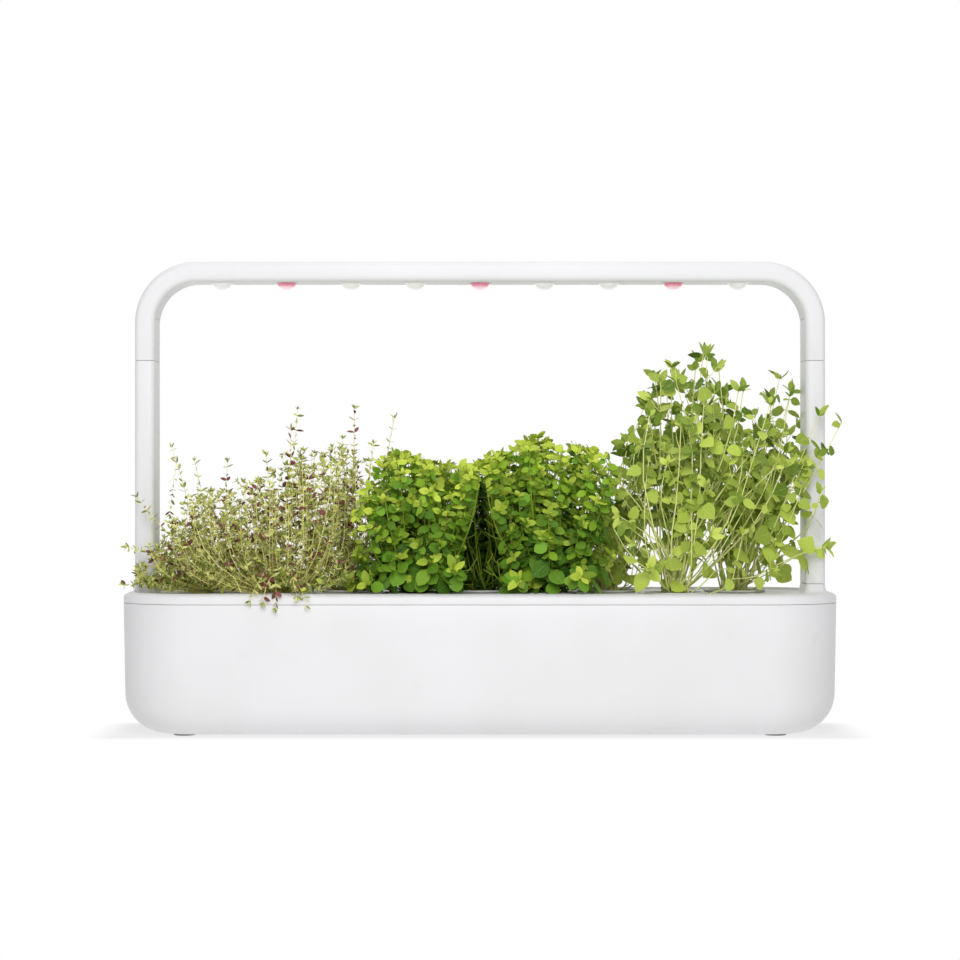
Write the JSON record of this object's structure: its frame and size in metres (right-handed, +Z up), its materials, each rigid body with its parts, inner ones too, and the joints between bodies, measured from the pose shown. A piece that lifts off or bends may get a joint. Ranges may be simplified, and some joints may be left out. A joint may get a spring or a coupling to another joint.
{
  "type": "countertop hydroponic garden",
  "caption": "Countertop herb garden: long white water tank with a lift-off planting deck, herbs growing in wick-fed cups, and a lamp arch on two plug-in arms over them.",
  "frame": {"origin": "on the table under the middle of the tank", "axes": "+X along the garden to the right as seen from the front, +Y from the front to the back, +Z up"},
  "size_m": [0.6, 0.185, 0.3995],
  "materials": {
    "base_plastic": "satin",
    "lamp_plastic": "satin",
    "inner_plastic": "matte",
    "foot_rubber": "matte",
    "dark_plastic": "satin",
    "float_plastic": "satin",
    "clear_lens": "gloss",
    "pink_lens": "gloss",
    "led_board": "satin",
    "timer_board": "satin",
    "contact_metal": "polished",
    "growing_medium": "matte",
    "thyme_leaf": "matte",
    "basil_leaf": "satin",
    "oregano_leaf": "matte"
  },
  "bodies": {
    "tank": {"water_tank": "base_plastic", "foot_front_left": "foot_rubber", "foot_front_right": "foot_rubber", "foot_back_left": "foot_rubber", "foot_back_right": "foot_rubber"},
    "deck": {"planting_deck": "base_plastic", "power_inlet": "dark_plastic", "timer_board": "timer_board", "board_tray": "inner_plastic", "float_guide": "inner_plastic"},
    "arms": {"left_arm": "lamp_plastic", "right_arm": "lamp_plastic", "left_arm_plug": "contact_metal", "right_arm_plug": "contact_metal"},
    "lamp": {"lamp_arch": "lamp_plastic", "led_cover": "lamp_plastic", "led_board": "led_board", "left_lamp_plug": "contact_metal", "right_lamp_plug": "contact_metal", "lens_1": "clear_lens", "lens_2": "pink_lens", "lens_3": "clear_lens", "lens_4": "clear_lens", "lens_5": "pink_lens", "lens_6": "clear_lens", "lens_7": "clear_lens", "lens_8": "pink_lens", "lens_9": "clear_lens"},
    "float": {"water_float": "float_plastic"},
    "cup_1": {"plant_cup_1": "inner_plastic", "soil_pod_1": "growing_medium", "thyme_1": "thyme_leaf"},
    "cup_2": {"plant_cup_2": "inner_plastic", "soil_pod_2": "growing_medium", "thyme_2": "thyme_leaf"},
    "cup_3": {"plant_cup_3": "inner_plastic", "soil_pod_3": "growing_medium", "thyme_3": "thyme_leaf"},
    "cup_4": {"plant_cup_4": "inner_plastic", "soil_pod_4": "growing_medium", "basil_4": "basil_leaf"},
    "cup_5": {"plant_cup_5": "inner_plastic", "soil_pod_5": "growing_medium", "basil_5": "basil_leaf"},
    "cup_6": {"plant_cup_6": "inner_plastic", "soil_pod_6": "growing_medium", "basil_6": "basil_leaf"},
    "cup_7": {"plant_cup_7": "inner_plastic", "soil_pod_7": "growing_medium", "oregano_7": "oregano_leaf"},
    "cup_8": {"plant_cup_8": "inner_plastic", "soil_pod_8": "growing_medium", "oregano_8": "oregano_leaf"},
    "cup_9": {"plant_cup_9": "inner_plastic", "soil_pod_9": "growing_medium", "oregano_9": "oregano_leaf"}
  },
  "joints": [
    {"name": "deck_lift", "type": "slide", "parent": "tank", "child": "deck", "axis": [0, 0, 1], "range_m": [0, 0.11]},
    {"name": "arms_lift", "type": "slide", "parent": "deck", "child": "arms", "axis": [0, 0, 1], "range_m": [0, 0.024]},
    {"name": "lamp_lift", "type": "slide", "parent": "arms", "child": "lamp", "axis": [0, 0, 1], "range_m": [0, 0.024]},
    {"name": "float_rise", "type": "slide", "parent": "deck", "child": "float", "axis": [0, 0, 1], "range_m": [0, 0.028]},
    {"name": "cup_lift_1", "type": "slide", "parent": "deck", "child": "cup_1", "axis": [0, 0, 1], "range_m": [0, 0.044]},
    {"name": "cup_lift_2", "type": "slide", "parent": "deck", "child": "cup_2", "axis": [0, 0, 1], "range_m": [0, 0.044]},
    {"name": "cup_lift_3", "type": "slide", "parent": "deck", "child": "cup_3", "axis": [0, 0, 1], "range_m": [0, 0.044]},
    {"name": "cup_lift_4", "type": "slide", "parent": "deck", "child": "cup_4", "axis": [0, 0, 1], "range_m": [0, 0.044]},
    {"name": "cup_lift_5", "type": "slide", "parent": "deck", "child": "cup_5", "axis": [0, 0, 1], "range_m": [0, 0.044]},
    {"name": "cup_lift_6", "type": "slide", "parent": "deck", "child": "cup_6", "axis": [0, 0, 1], "range_m": [0, 0.044]},
    {"name": "cup_lift_7", "type": "slide", "parent": "deck", "child": "cup_7", "axis": [0, 0, 1], "range_m": [0, 0.044]},
    {"name": "cup_lift_8", "type": "slide", "parent": "deck", "child": "cup_8", "axis": [0, 0, 1], "range_m": [0, 0.044]},
    {"name": "cup_lift_9", "type": "slide", "parent": "deck", "child": "cup_9", "axis": [0, 0, 1], "range_m": [0, 0.044]}
  ]
}
